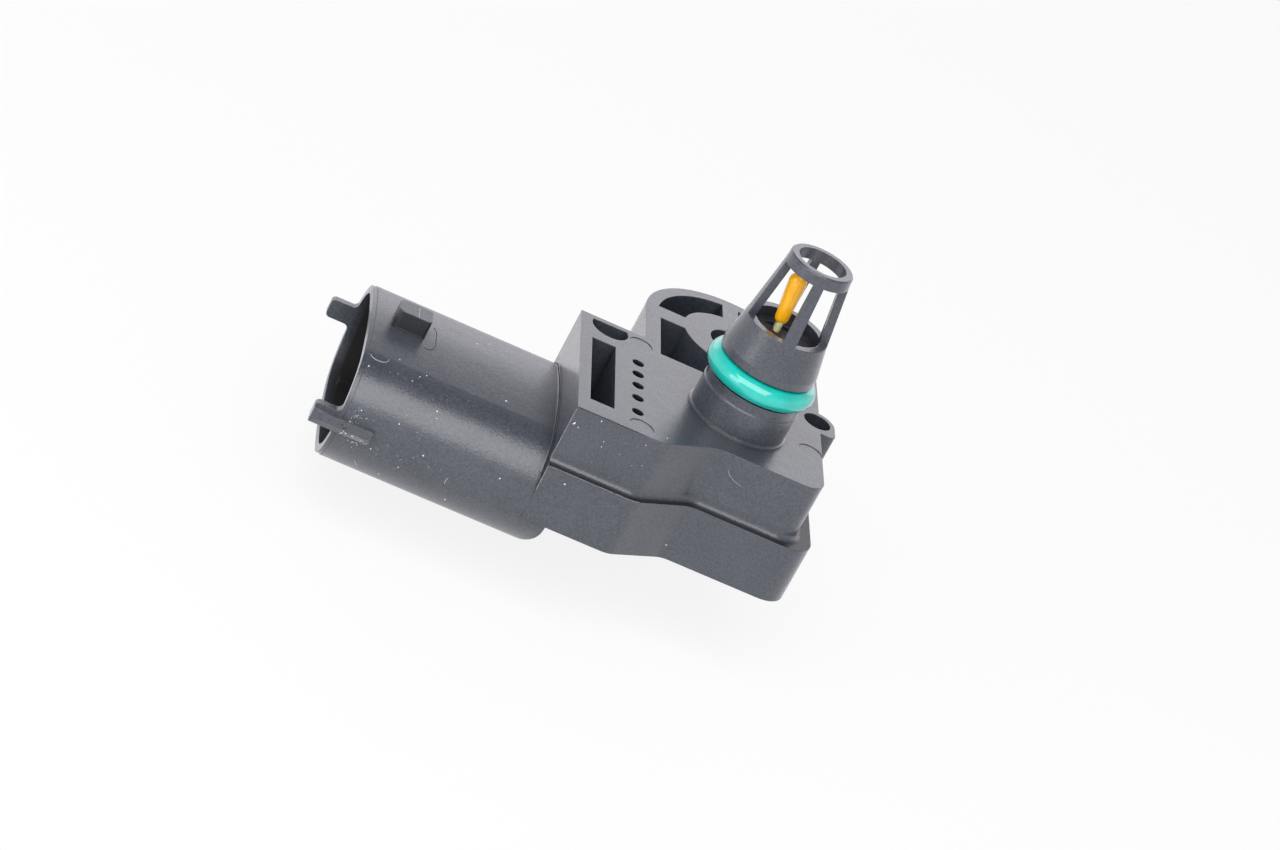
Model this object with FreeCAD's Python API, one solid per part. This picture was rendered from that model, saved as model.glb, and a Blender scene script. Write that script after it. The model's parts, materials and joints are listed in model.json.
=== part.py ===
import FreeCAD, Part
import math
import os

Vector = FreeCAD.Vector

# A manifold absolute pressure sensor with a built-in air temperature bead.
# Millimetres. Z runs along the port, up and away from the mounting face.
# X runs along the connector, whose mouth faces -X. Y points to the screw ear.
# The origin is where the port's axis meets the mounting face.

# Body, as seen from above the mounting face
body_left_x = -19.0
body_right_x = 10.5
body_front_y = -13.5
body_back_y = 10.2
step_front_y = -9.1
step_start_x = -8.8
step_end_x = -2.3
step_round = 3.0
body_corner_round = 2.4
body_height = 14.2

# Ledge where the wider lower half of the body begins
ledge_depth = 7.2
ledge_front = 1.1
ledge_right = 2.0
ledge_fillet = 0.8
lower_corner_round = 3.2
lower_back_round = 2.0

# Screw ear, with pockets cored from the mounting face
ear_radius = 10.8
ear_thickness = 6.2
screw_y = 18.4
screw_hole_radius = 2.65
screw_boss_radius = 6.0
ear_rim_wall = 1.5
ear_pocket_floor = 1.2
ear_rib_width = 2.8
ear_rib_offset = 0.1
ear_spine_width = 2.0
triangle_left_reach = 8.95
triangle_right_reach = 6.9
triangle_inset = 2.45

# Locating lug at the right end
lug_hole_inset_x = 0.3
lug_hole_inset_y = 2.4
lug_hole_radius = 1.65
lug_hole_depth = 7.0
lug_wall = 0.55
lug_front_reach = 2.6
lug_back_inset = 0.1
lug_back_round = 2.2
lug_front_round = 0.8

# Cored pockets, pin holes and tool marks in the mounting face
slot_inset_x = 1.4
slot_inset_y = 3.05
slot_width = 2.85
slot_length = 15.0
slot_floor = 1.0
round_pocket_inset_x = 3.55
round_pocket_inset_y = 1.65
round_pocket_radius = 2.2
round_pocket_flat = 0.85
round_pocket_floor = 1.0
pin_hole_x = -12.0
pin_hole_ys = [3.0, 0.25, -2.5, -5.5, -8.8]
pin_hole_radius = 0.7
pin_hole_depth = 3.0
tool_mark_centres = [(-11.5, -11.8), (-11.7, 7.9), (9.0, -0.4)]
tool_mark_radius = 1.45
tool_mark_depth = 0.06

# Connector shroud, an oval tube with round ends and crowned sides, its mouth at -X
shroud_length = 22.4
shroud_width = 26.7
shroud_height = 14.6
shroud_crown = 0.5
shroud_wall = 1.05
shroud_rise = 1.7
socket_depth = 16.4
belly_reach = 2.9
belly_round = 4.9
rim_step_length = 0.5
rim_step = 0.1
shroud_root_fillet = 0.3
guide_rib_offsets = [-6.35, 7.25]
guide_rib_width = 1.2
guide_rib_height = 1.3
guide_rib_setback = 1.0

# Tongues beyond the mouth, and the rib on the front one
tongue_length = 2.9
tongue_width = 2.3
tongue_rise = 0.2
tongue_root_round = 0.6
tongue_tip_round = 0.5
tongue_rib_length = 6.9
tongue_rib_height = 0.8
tongue_rib_width = 1.8
tongue_rib_rise = 1.0
tongue_rib_tip_bevel_x = 0.8
tongue_rib_tip_bevel_y = 0.3
tongue_rib_low_bevel_y = 0.45
tongue_rib_low_bevel_z = 0.8

# Block on the shroud that the mating plug's latch snaps behind
latch_setback = 2.4
latch_length = 3.9
latch_width = 2.8
latch_front_offset = -0.8
latch_height = 2.05
latch_mouth_round = 0.85
latch_end_round = 0.4
latch_back_round = 0.6

# Port, its seal groove and its cage
port_radius = 5.65
port_upper_radius = 5.5
port_step_z = 3.4
port_root_radius = 5.9
port_root_height = 0.3
groove_bottom_z = 4.7
groove_top_z = 7.5
groove_radius = 3.85
seal_cord = 2.6
cone_base_radius = 5.6
cone_start_z = 8.6
window_sill_z = 12.4
sill_radius = 4.84
window_head_z = 19.55
head_radius = 3.82
port_height = 20.9
tip_radius = 3.72
tip_bevel = 0.15
cage_wall = 0.95
cage_wall_taper = 0.1
tip_bore_radius = 2.82
rib_half_angle = 9.2
rib_count = 4
duct_radius = 2.7
cage_floor_z = 11.2
cage_floor_thickness = 1.3

# Thermistor and its leads
lead_radius = 0.2
lead_x = -0.95
lead_centre_y = 0.15
lead_spacing = 0.7
lead_in_bead = 0.9
lead_run_drop = 3.0
lead_weld_length = 1.3
lead_bend = 0.8
sleeve_wall = 0.16
sleeve_length = 0.8
resin_height = 0.3
resin_radius = 3.1
resin_neck_wall = 0.25
resin_back_gap = 0.3
duct_opening_gap = 0.15
bead_length = 6.4
bead_lean_deg = 4.5
bead_foot_radius = 0.8
bead_head_radius = 1.04

# Terminals
terminal_names = ["supply", "ground", "temperature", "pressure"]
terminal_pitch = 4.2
terminal_width = 1.5
terminal_thickness = 0.64
terminal_setback = 3.2
terminal_tip_bevel = 0.18
terminal_rise_start = 2.5
terminal_rise_length = 3.0
terminal_edge_gap = 0.3

# Cavity below the mounting face, and the cover that closes it
cavity_left_x = -10.4
cavity_right_wall = 2.5
cavity_wall = 1.7
cavity_round = 1.2
cavity_roof_z = -2.5
cavity_depth = 6.2
shelf_edge_x = -7.6
cover_seat = 1.2
cover_recess_depth = 1.8
cover_thickness = 1.35
cover_clearance = 0.1
cover_glue = 0.25
cover_corner_round = 1.6

# Circuit board on its seats, and what it carries
board_shelf_gap = 1.2
board_clearance = 0.6
board_seat = 1.0
board_thickness = 0.8
board_glue = 0.15
pedestal_side = 2.8
pedestal_height = 1.0
pressure_chip_side = 2.4
pressure_chip_thickness = 0.4
gel_frame_side = 6.4
gel_frame_wall = 0.7
gel_frame_height = 2.1
gel_frame_margin = 1.2
gel_depth = 1.75
signal_chip_length = 3.4
signal_chip_width = 2.8
signal_chip_height = 0.6
signal_chip_inset = 3.5
signal_chip_offset = 2.65
capacitor_length = 1.6
capacitor_width = 0.8
capacitor_height = 0.8
capacitor_inset = 1.9
resistor_length = 1.6
resistor_width = 0.8
resistor_height = 0.45
resistor_inset = 4.4
component_count = 3
component_first_offset = -1.75
component_pitch = 2.0
wire_radius = 0.1
wire_bend = 0.3
wire_offset_y = 0.45
wire_pad_inset = 0.5
wire_hang = 0.9
wire_tongue_inset = 0.5

# Allowances for joining and cutting, which leave no mark on the finished shapes
embed = 1.0
past = 1.0
seam = 0.01
cove_bed_share = 0.2

# Worked out from the sizes above
screw_x = body_right_x - ear_radius
lower_front_y = body_front_y - ledge_front
lug_hole_x = body_right_x - lug_hole_inset_x
lug_hole_y = body_back_y - lug_hole_inset_y
shelf_z = -body_height + cavity_depth
slot_depth = -shelf_z - slot_floor
round_pocket_depth = -shelf_z - round_pocket_floor
shroud_centre_y = lower_front_y + shroud_width / 2
shroud_centre_z = -body_height + shroud_rise
shroud_bottom_z = shroud_centre_z - shroud_height / 2
shroud_top_z = shroud_centre_z + shroud_height / 2
shroud_end_radius = shroud_height / 2 - shroud_crown
shroud_end_offset = shroud_width / 2 - shroud_end_radius
crown_offset = (shroud_end_offset ** 2 - shroud_crown ** 2) / (2 * shroud_crown)
crown_radius = shroud_height / 2 + crown_offset
crown_half_angle = math.degrees(math.atan2(shroud_end_offset, crown_offset))
mouth_x = body_left_x - shroud_length
socket_floor_x = mouth_x + socket_depth
belly_end_x = body_left_x + belly_reach
tongue_tip_x = mouth_x - tongue_length
seal_centre_z = (groove_bottom_z + groove_top_z) / 2
seal_radius = groove_radius + seal_cord / 2
cage_floor_under_z = cage_floor_z - cage_floor_thickness
resin_top_z = cage_floor_z + resin_height
bead_bottom_z = resin_top_z + sleeve_length
neck_back_y = lead_centre_y + lead_spacing / 2 + lead_radius + resin_neck_wall
duct_opening_y = neck_back_y + duct_opening_gap
resin_back_y = duct_opening_y - resin_back_gap
lead_run_z = cavity_roof_z - lead_run_drop
cavity_right_x = body_right_x - cavity_right_wall
cavity_back_y = body_back_y - cavity_wall
terminal_rise_start_x = body_left_x + terminal_rise_start
terminal_rise_end_x = terminal_rise_start_x + terminal_rise_length
terminal_inner_x = shelf_edge_x - terminal_edge_gap
tongue_under_z = shelf_z - terminal_thickness
board_left_x = shelf_edge_x + board_shelf_gap
board_right_x = cavity_right_x - board_clearance
board_front_y = step_front_y + cavity_wall + board_clearance
board_back_y = cavity_back_y - board_clearance
board_top_z = shelf_z - board_glue
board_under_z = board_top_z - board_thickness
gel_frame_x = board_right_x - gel_frame_margin - gel_frame_side / 2
board_middle_y = (board_front_y + board_back_y) / 2
recess_z = -body_height + cover_recess_depth
cover_top_z = recess_z - cover_glue


def rounded_wire(points, radii):
    """Closed wire in the XY plane through the points, with tangent arcs at the corners."""
    count = len(points)
    starts = []
    ends = []
    middles = []
    for index in range(count):
        corner = Vector(points[index][0], points[index][1], 0)
        before = Vector(points[index - 1][0], points[index - 1][1], 0)
        after = Vector(points[(index + 1) % count][0], points[(index + 1) % count][1], 0)
        radius = radii[index]
        if radius <= 0:
            starts.append(corner)
            ends.append(corner)
            middles.append(None)
            continue
        to_before = (before - corner).normalize()
        to_after = (after - corner).normalize()
        half_angle = to_before.getAngle(to_after) / 2
        reach = radius / math.tan(half_angle)
        bisector = (to_before + to_after).normalize()
        centre = corner + bisector * (radius / math.sin(half_angle))
        starts.append(corner + to_before * reach)
        ends.append(corner + to_after * reach)
        middles.append(centre - bisector * radius)
    edges = []
    for index in range(count):
        following = (index + 1) % count
        if middles[index] is not None:
            edges.append(Part.Arc(starts[index], middles[index], ends[index]).toShape())
        if not ends[index].isEqual(starts[following], seam / 2):
            edges.append(Part.LineSegment(ends[index], starts[following]).toShape())
    return Part.Wire(edges)


def sharp(points):
    """Radii of an outline that has no rounded corner."""
    return [0] * len(points)


def prism(points, radii, low_z, high_z):
    """Solid of an outline in plan, between two heights."""
    face = Part.Face(rounded_wire(points, radii))
    solid = face.extrude(Vector(0, 0, high_z - low_z))
    solid.translate(Vector(0, 0, low_z))
    return solid


def facing_x(x):
    """Placement that turns an outline of (y, z) points into the plane at x."""
    turn = FreeCAD.Rotation(Vector(0, 1, 0), Vector(0, 0, 1), Vector(1, 0, 0))
    return FreeCAD.Placement(Vector(x, 0, 0), turn)


def extruded_along_x(wire, low_x, high_x):
    """Solid of a closed wire drawn in (y, z), between two values of x."""
    solid = Part.Face(wire).extrude(Vector(0, 0, high_x - low_x))
    solid.Placement = facing_x(low_x)
    return Part.Solid(solid)


def prism_along_y(points, radii, low_y, high_y):
    """Solid of an outline given as (x, z) points, between two values of y."""
    solid = prism(points, radii, 0, high_y - low_y)
    solid.Placement = FreeCAD.Placement(Vector(0, high_y, 0), FreeCAD.Rotation(Vector(1, 0, 0), 90))
    return Part.Solid(solid)


def box(low, high):
    """Block between its lowest and highest corners."""
    return Part.makeBox(high[0] - low[0], high[1] - low[1], high[2] - low[2], Vector(*low))


def cylinder(x, y, radius, low_z, high_z):
    """Upright cylinder between two heights."""
    return Part.makeCylinder(radius, high_z - low_z, Vector(x, y, low_z))


def revolved(points):
    """Solid of revolution about Z from (radius, z) points."""
    corners = [Vector(radius, 0, z) for radius, z in points]
    wire = Part.makePolygon(corners + [corners[0]])
    return Part.Face(wire).revolve(Vector(0, 0, 0), Vector(0, 0, 1), 360)


def swept(profile, path):
    """Solid swept by a closed profile along a smooth path."""
    return Part.Solid(path.makePipeShell([profile], True, False))


def rounded_tube(points, radius, bend):
    """Round wire along a route of straight runs joined by tangent arcs."""
    route = [Vector(*point) for point in points]
    edges = []
    start = route[0]
    for index in range(1, len(route) - 1):
        corner = route[index]
        to_before = (route[index - 1] - corner).normalize()
        to_after = (route[index + 1] - corner).normalize()
        half_angle = to_before.getAngle(to_after) / 2
        reach = bend / math.tan(half_angle)
        bisector = (to_before + to_after).normalize()
        centre = corner + bisector * (bend / math.sin(half_angle))
        arc_start = corner + to_before * reach
        arc_end = corner + to_after * reach
        edges.append(Part.LineSegment(start, arc_start).toShape())
        edges.append(Part.Arc(arc_start, centre - bisector * bend, arc_end).toShape())
        start = arc_end
    edges.append(Part.LineSegment(start, route[-1]).toShape())
    section = Part.Wire(Part.makeCircle(radius, route[0], route[1] - route[0]))
    return swept(section, Part.Wire(edges))


def cove_profile(origin, outward, upward, radius):
    """Section of a concave fillet, bedded slightly into the two faces that it joins."""
    bed = radius * cove_bed_share
    foot = origin + outward * radius
    head = origin + upward * radius
    centre = foot + upward * radius
    middle = centre - (outward + upward).normalize() * radius
    behind = head - outward * bed
    corner = origin - outward * bed - upward * bed
    beneath = foot - upward * bed
    corners = [head, behind, corner, beneath, foot]
    edges = [Part.LineSegment(first, last).toShape() for first, last in zip(corners, corners[1:])]
    edges.append(Part.Arc(foot, middle, head).toShape())
    return Part.Wire(edges)


def stepped_plan(left, right, front, step, back, corner_round, back_round=0.0):
    """Outline in plan of a rectangle whose front wall steps back towards the right."""
    points = [
        (left, front),
        (step_start_x, front),
        (step_end_x, step),
        (right, step),
        (right, back),
        (left, back),
    ]
    radii = [0, step_round, step_round, corner_round, back_round, 0]
    return points, radii


def upper_plan():
    """Outline of the mounting face, without its ear and lug."""
    return stepped_plan(
        body_left_x, body_right_x, body_front_y, step_front_y, body_back_y, body_corner_round
    )


def arc(centre_y, centre_z, radius, first, last):
    """Arc of a circle in the (y, z) outline, between two directions in degrees."""
    points = []
    for degrees in (first, (first + last) / 2, last):
        turn = math.radians(degrees)
        points.append(
            Vector(centre_y + radius * math.cos(turn), centre_z + radius * math.sin(turn), 0)
        )
    return Part.Arc(*points).toShape()


def shroud_outline(inset):
    """Outline of the shroud from its front extreme: round ends and crowned sides, drawn in evenly."""
    end = shroud_end_radius - inset
    crown = crown_radius - inset
    lean = crown_half_angle
    front_y = shroud_centre_y - shroud_end_offset
    back_y = shroud_centre_y + shroud_end_offset
    return Part.Wire([
        arc(front_y, shroud_centre_z, end, 180, 270 - lean),
        arc(shroud_centre_y, shroud_centre_z + crown_offset, crown, 270 - lean, 270 + lean),
        arc(back_y, shroud_centre_z, end, lean - 90, 90 - lean),
        arc(shroud_centre_y, shroud_centre_z - crown_offset, crown, 90 - lean, 90 + lean),
        arc(front_y, shroud_centre_z, end, 90 + lean, 180),
    ])


def shroud_section(inset, low_x, high_x):
    """Stretch of the shroud's oval, drawn in by an even amount."""
    return extruded_along_x(shroud_outline(inset), low_x, high_x)


def ledge_cove():
    """Concave fillet between the upper wall and the ledge, along the front and the right end."""
    points, radii = upper_plan()
    along = []
    for edge in rounded_wire(points, radii).OrderedEdges:
        middle = edge.valueAt((edge.FirstParameter + edge.LastParameter) / 2)
        if middle.x > body_left_x + seam and middle.y < body_back_y - seam:
            along.append(edge)
    path = Part.Wire(along)
    path.translate(Vector(0, 0, -ledge_depth))
    start = Vector(body_left_x, body_front_y, -ledge_depth)
    return swept(cove_profile(start, Vector(0, -1, 0), Vector(0, 0, 1), ledge_fillet), path)


def body_block():
    """Upper and lower halves of the body with the ledge between them."""
    points, radii = upper_plan()
    upper = prism(points, radii, -ledge_depth - embed, 0)
    points, radii = stepped_plan(
        body_left_x,
        body_right_x + ledge_right,
        lower_front_y,
        step_front_y - ledge_front,
        body_back_y,
        lower_corner_round,
        lower_back_round,
    )
    lower = prism(points, radii, -body_height, -ledge_depth)
    return upper.fuse(lower).fuse(ledge_cove())


def shroud_root():
    """Concave fillet where the shroud leaves the body's left wall."""
    outline = shroud_outline(0)
    outline.Placement = facing_x(body_left_x)
    start = outline.OrderedVertexes[0].Point
    ring = swept(cove_profile(start, Vector(0, -1, 0), Vector(-1, 0, 0), shroud_root_fillet), outline)
    reach = 2 * shroud_root_fillet
    wall = box(
        (body_left_x - reach, body_front_y, -body_height), (body_left_x + reach, body_back_y, 0)
    )
    return ring.common(wall)


def ear():
    """Screw ear, before its pockets and hole."""
    plate = box((screw_x - ear_radius, body_back_y - embed, -ear_thickness), (body_right_x, screw_y, 0))
    plate = plate.fuse(cylinder(screw_x, screw_y, ear_radius, -ear_thickness, 0))
    return plate.removeSplitter()


def ear_pockets():
    """Crescent pockets outside the boss and triangular ones towards the body, with ribs between."""
    floor_z = -ear_thickness + ear_pocket_floor
    rib_middle_y = screw_y + ear_rib_offset
    rib_low_y = rib_middle_y - ear_rib_width / 2
    rib_high_y = rib_middle_y + ear_rib_width / 2
    low_z = floor_z - past
    high_z = 2 * past
    far = 2 * ear_radius
    inside = cylinder(screw_x, screw_y, ear_radius - ear_rim_wall, floor_z, past)
    boss = cylinder(screw_x, screw_y, screw_boss_radius, low_z, high_z)
    spine = box(
        (screw_x - ear_spine_width / 2, 0, low_z), (screw_x + ear_spine_width / 2, screw_y + far, high_z)
    )
    crescents = inside.cut(boss).cut(box((-far, 0, low_z), (far, rib_high_y, high_z)))
    triangles = box(
        (screw_x - triangle_left_reach, body_back_y - triangle_inset, floor_z),
        (screw_x + triangle_right_reach, rib_low_y, past),
    )
    return crescents.cut(spine).fuse(triangles.cut(boss).cut(spine))


def lug():
    """Locating lug, down to just below the ledge."""
    root_x = body_right_x - body_corner_round
    right_x = lug_hole_x + lug_hole_radius + lug_wall
    front_y = lug_hole_y - lug_front_reach
    back_y = body_back_y - lug_back_inset
    points = [(root_x, front_y), (right_x, front_y), (right_x, back_y), (root_x, back_y)]
    return prism(points, [0, lug_front_round, lug_back_round, 0], -ledge_depth - embed, 0)


def face_pockets():
    """Slot, D-shaped pocket, pin holes and tool marks in the mounting face."""
    slot_x = body_left_x + slot_inset_x
    slot_y = body_front_y + slot_inset_y
    cuts = [box((slot_x, slot_y, -slot_depth), (slot_x + slot_width, slot_y + slot_length, past))]
    pocket_x = body_left_x + round_pocket_inset_x
    pocket_y = body_back_y - round_pocket_inset_y
    barrel = cylinder(pocket_x, pocket_y, round_pocket_radius, -round_pocket_depth, past)
    reach = 2 * round_pocket_radius
    flat = box(
        (pocket_x - reach, pocket_y + round_pocket_flat, -round_pocket_depth - past),
        (pocket_x + reach, pocket_y + reach, 2 * past),
    )
    cuts.append(barrel.cut(flat))
    for y in pin_hole_ys:
        cuts.append(cylinder(pin_hole_x, y, pin_hole_radius, -pin_hole_depth, past))
    for x, y in tool_mark_centres:
        cuts.append(cylinder(x, y, tool_mark_radius, -tool_mark_depth, past))
    return cuts


def shroud_outside():
    """Connector shroud before its socket is hollowed out, with the belly that ends under the body."""
    tube = shroud_section(0, mouth_x + rim_step_length, belly_end_x)
    rim = shroud_section(rim_step, mouth_x, mouth_x + rim_step_length)
    front_x = mouth_x - past
    side = [
        (front_x, shroud_bottom_z),
        (belly_end_x, shroud_bottom_z),
        (belly_end_x, shroud_top_z + past),
        (front_x, shroud_top_z + past),
    ]
    low_y = shroud_centre_y - shroud_width
    high_y = shroud_centre_y + shroud_width
    keep = prism_along_y(side, [0, belly_round, 0, 0], low_y, high_y)
    above_belly = box((body_left_x, low_y, -body_height + embed), (belly_end_x + past, high_y, 0))
    return tube.fuse(rim).common(keep).cut(above_belly)


def tongues():
    """Tongues at the two narrow ends of the shroud, beyond its mouth."""
    root_x = mouth_x + embed
    ring = shroud_section(rim_step, tongue_tip_x - past, root_x)
    ring = ring.cut(shroud_section(shroud_wall, tongue_tip_x - 2 * past, root_x + past))
    low = shroud_centre_z + tongue_rise - tongue_width / 2
    high = low + tongue_width
    flare = tongue_root_round
    profile = [
        (root_x, low - flare),
        (mouth_x, low - flare),
        (mouth_x, low),
        (tongue_tip_x, low),
        (tongue_tip_x, high),
        (mouth_x, high),
        (mouth_x, high + flare),
        (root_x, high + flare),
    ]
    corner = tongue_root_round - seam
    radii = [0, 0, corner, tongue_tip_round, tongue_tip_round, corner, 0, 0]
    side = prism_along_y(profile, radii, shroud_centre_y - shroud_width, shroud_centre_y + shroud_width)
    return ring.common(side)


def tongue_rib():
    """Rib along the outside of the front tongue, bevelled at its tip and along its lower edge."""
    outer_y = lower_front_y - tongue_rib_height
    inner_y = lower_front_y + shroud_wall / 2
    end_x = tongue_tip_x + tongue_rib_length
    top_z = shroud_centre_z + tongue_rib_rise
    low_z = top_z - tongue_rib_width
    plan = [
        (tongue_tip_x + tongue_rib_tip_bevel_x, outer_y),
        (end_x, outer_y),
        (end_x, inner_y),
        (tongue_tip_x, inner_y),
        (tongue_tip_x, outer_y + tongue_rib_tip_bevel_y),
    ]
    section = [
        (inner_y + past, low_z),
        (outer_y + tongue_rib_low_bevel_y, low_z),
        (outer_y, low_z + tongue_rib_low_bevel_z),
        (outer_y, top_z),
        (inner_y + past, top_z),
    ]
    outline = rounded_wire(section, sharp(section))
    along = extruded_along_x(outline, tongue_tip_x - past, end_x + past)
    return prism(plan, sharp(plan), low_z - past, top_z + past).common(along)


def latch_block():
    """Block on the shroud, with its upright corners rounded."""
    left_x = mouth_x + latch_setback
    right_x = left_x + latch_length
    front_y = shroud_centre_y + latch_front_offset
    back_y = front_y + latch_width
    plan = [(left_x, front_y), (right_x, front_y), (right_x, back_y), (left_x, back_y)]
    radii = [latch_mouth_round, latch_end_round, latch_back_round, latch_mouth_round]
    return prism(plan, radii, shroud_top_z - shroud_wall / 2, shroud_top_z + latch_height)


def socket():
    """Hollow of the connector, less the guide ribs on its lower wall."""
    hollow = shroud_section(shroud_wall, mouth_x - past, socket_floor_x)
    floor_z = shroud_bottom_z + shroud_wall
    for offset in guide_rib_offsets:
        y = shroud_centre_y + offset
        rib = box(
            (mouth_x + guide_rib_setback, y - guide_rib_width / 2, floor_z - past),
            (socket_floor_x + past, y + guide_rib_width / 2, floor_z + guide_rib_height),
        )
        hollow = hollow.cut(rib)
    return hollow


def port_outside():
    """Port with its seal groove and tapered cage, before it is hollowed out."""
    root_step = port_root_radius - port_radius
    upper_step = port_radius - port_upper_radius
    return revolved([
        (0, -embed),
        (port_root_radius, -embed),
        (port_root_radius, port_root_height - root_step / 2),
        (port_radius, port_root_height),
        (port_radius, port_step_z),
        (port_upper_radius, port_step_z + upper_step),
        (port_upper_radius, groove_bottom_z),
        (groove_radius, groove_bottom_z),
        (groove_radius, groove_top_z),
        (cone_base_radius - tip_bevel, groove_top_z),
        (cone_base_radius, groove_top_z + tip_bevel),
        (cone_base_radius, cone_start_z),
        (sill_radius, window_sill_z),
        (head_radius, window_head_z),
        (tip_radius, port_height - tip_bevel),
        (tip_radius - tip_bevel, port_height),
        (0, port_height),
    ])


def port_inside():
    """Duct, cage room and windows, less the floor that carries the thermistor."""
    duct = cylinder(0, 0, duct_radius, cavity_roof_z - past, cage_floor_under_z)
    room = revolved([
        (0, cage_floor_z),
        (sill_radius - cage_wall + cage_wall_taper, cage_floor_z),
        (sill_radius - cage_wall, window_sill_z),
        (head_radius - cage_wall, window_head_z),
        (tip_bore_radius, port_height + past),
        (0, port_height + past),
    ])
    reach = 2 * duct_radius
    low_z = cage_floor_under_z - past
    high_z = cage_floor_z + past
    opening = cylinder(0, 0, duct_radius, low_z, high_z)
    opening = opening.common(box((-reach, duct_opening_y, low_z - past), (reach, reach, high_z + past)))
    cuts = [duct, room, opening]
    step = 360 / rib_count
    far = 3 * cone_base_radius
    for index in range(rib_count):
        first = math.radians(index * step + rib_half_angle)
        last = math.radians((index + 1) * step - rib_half_angle)
        wedge = [
            (0, 0),
            (far * math.cos(first), far * math.sin(first)),
            (far * math.cos(last), far * math.sin(last)),
        ]
        cuts.append(prism(wedge, sharp(wedge), window_sill_z, window_head_z))
    return cuts


def cavity_plan(extra, corner_round):
    """Outline of the lower cavity, grown by an even amount."""
    return stepped_plan(
        cavity_left_x - extra,
        cavity_right_x + extra,
        body_front_y + cavity_wall - extra,
        step_front_y + cavity_wall - extra,
        cavity_back_y + extra,
        corner_round,
        corner_round,
    )


def cavity():
    """Room below the shelf, air room above the board and recess for the cover."""
    points, radii = cavity_plan(0, cavity_round)
    lower = prism(points, radii, -body_height - past, shelf_z)
    upper = box(
        (shelf_edge_x, board_front_y + board_seat, shelf_z - past),
        (cavity_right_x, board_back_y - board_seat, cavity_roof_z),
    )
    points, radii = cavity_plan(cover_seat, cover_corner_round)
    recess = prism(points, radii, -body_height - past, recess_z)
    return [lower, upper, recess]


def terminal_y(index):
    """Middle of a terminal, counted from the front."""
    middle = (len(terminal_names) - 1) / 2
    return shroud_centre_y + (index - middle) * terminal_pitch


def strip(route, thickness, low_y, high_y):
    """Bent strip of even thickness whose centre line is given as (x, z) points."""
    half = thickness / 2
    sides = [[], []]
    for index, (x, z) in enumerate(route):
        before = route[max(index - 1, 0)]
        after = route[min(index + 1, len(route) - 1)]
        first = Vector(x - before[0], z - before[1], 0)
        second = Vector(after[0] - x, after[1] - z, 0)
        if first.Length == 0:
            first = second
        if second.Length == 0:
            second = first
        first.normalize()
        second.normalize()
        normal = Vector(-first.y - second.y, first.x + second.x, 0).normalize()
        scale = half / (normal.x * -first.y + normal.y * first.x)
        sides[0].append((x + normal.x * scale, z + normal.y * scale))
        sides[1].append((x - normal.x * scale, z - normal.y * scale))
    outline = sides[0] + sides[1][::-1]
    return prism_along_y(outline, sharp(outline), low_y, high_y)


def terminal(index):
    """One contact: a blade in the socket, moulded in, with a bonding tongue under the shelf."""
    y = terminal_y(index)
    tip_x = mouth_x + terminal_setback
    tongue_z = shelf_z - terminal_thickness / 2
    route = [
        (tip_x, shroud_centre_z),
        (terminal_rise_start_x, shroud_centre_z),
        (terminal_rise_end_x, tongue_z),
        (terminal_inner_x, tongue_z),
    ]
    blade = strip(route, terminal_thickness, y - terminal_width / 2, y + terminal_width / 2)
    tip = [edge for edge in blade.Edges if edge.BoundBox.XMax < tip_x + seam]
    return blade.makeChamfer(terminal_tip_bevel, tip)


def lead(side, terminal_name):
    """One thermistor lead, from inside the bead down the duct and under its terminal's tongue."""
    y = lead_centre_y + side * lead_spacing / 2
    tongue_y = terminal_y(terminal_names.index(terminal_name))
    drop_x = (shelf_edge_x + board_left_x) / 2
    weld_z = tongue_under_z - lead_radius
    route = [
        (lead_x, y, bead_bottom_z + lead_in_bead),
        (lead_x, y, lead_run_z),
        (drop_x, tongue_y, lead_run_z),
        (drop_x, tongue_y, weld_z),
        (terminal_inner_x - lead_weld_length, tongue_y, weld_z),
    ]
    return rounded_tube(route, lead_radius, lead_bend)


def oblong_post(wall, low_z, high_z):
    """Upright oblong post around both thermistor leads."""
    radius = lead_radius + wall
    half = lead_spacing / 2 + radius
    points = [
        (lead_x - radius, lead_centre_y - half),
        (lead_x + radius, lead_centre_y - half),
        (lead_x + radius, lead_centre_y + half),
        (lead_x - radius, lead_centre_y + half),
    ]
    return prism(points, [radius - seam] * 4, low_z, high_z)


def resin():
    """Potting that seals the leads into the cage floor."""
    disc = cylinder(0, 0, resin_radius, cage_floor_z, resin_top_z)
    reach = 2 * resin_radius
    front = box((-reach, -reach, cage_floor_z - past), (reach, resin_back_y, resin_top_z + past))
    neck = oblong_post(resin_neck_wall, cage_floor_under_z, cage_floor_z)
    return disc.common(front).fuse(neck).removeSplitter()


def bead():
    """Glass-coated thermistor bead, club-shaped, with its fat end up."""
    foot = bead_foot_radius
    head = bead_head_radius
    diagonal = math.cos(math.radians(45))
    foot_point = Vector(foot, 0, foot)
    shoulder = Vector(head, 0, bead_length - head)
    top = Vector(0, 0, bead_length)
    bottom = Vector(0, 0, 0)
    low_middle = Vector(foot * diagonal, 0, foot - foot * diagonal)
    high_middle = Vector(head * diagonal, 0, bead_length - head + head * diagonal)
    edges = [
        Part.Arc(bottom, low_middle, foot_point).toShape(),
        Part.LineSegment(foot_point, shoulder).toShape(),
        Part.Arc(shoulder, high_middle, top).toShape(),
        Part.LineSegment(top, bottom).toShape(),
    ]
    solid = Part.Face(Part.Wire(edges)).revolve(bottom, Vector(0, 0, 1), 360)
    turn = FreeCAD.Rotation(Vector(0, 1, 0), -bead_lean_deg)
    solid.Placement = FreeCAD.Placement(Vector(lead_x, lead_centre_y, bead_bottom_z), turn)
    return Part.Solid(solid)


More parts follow.
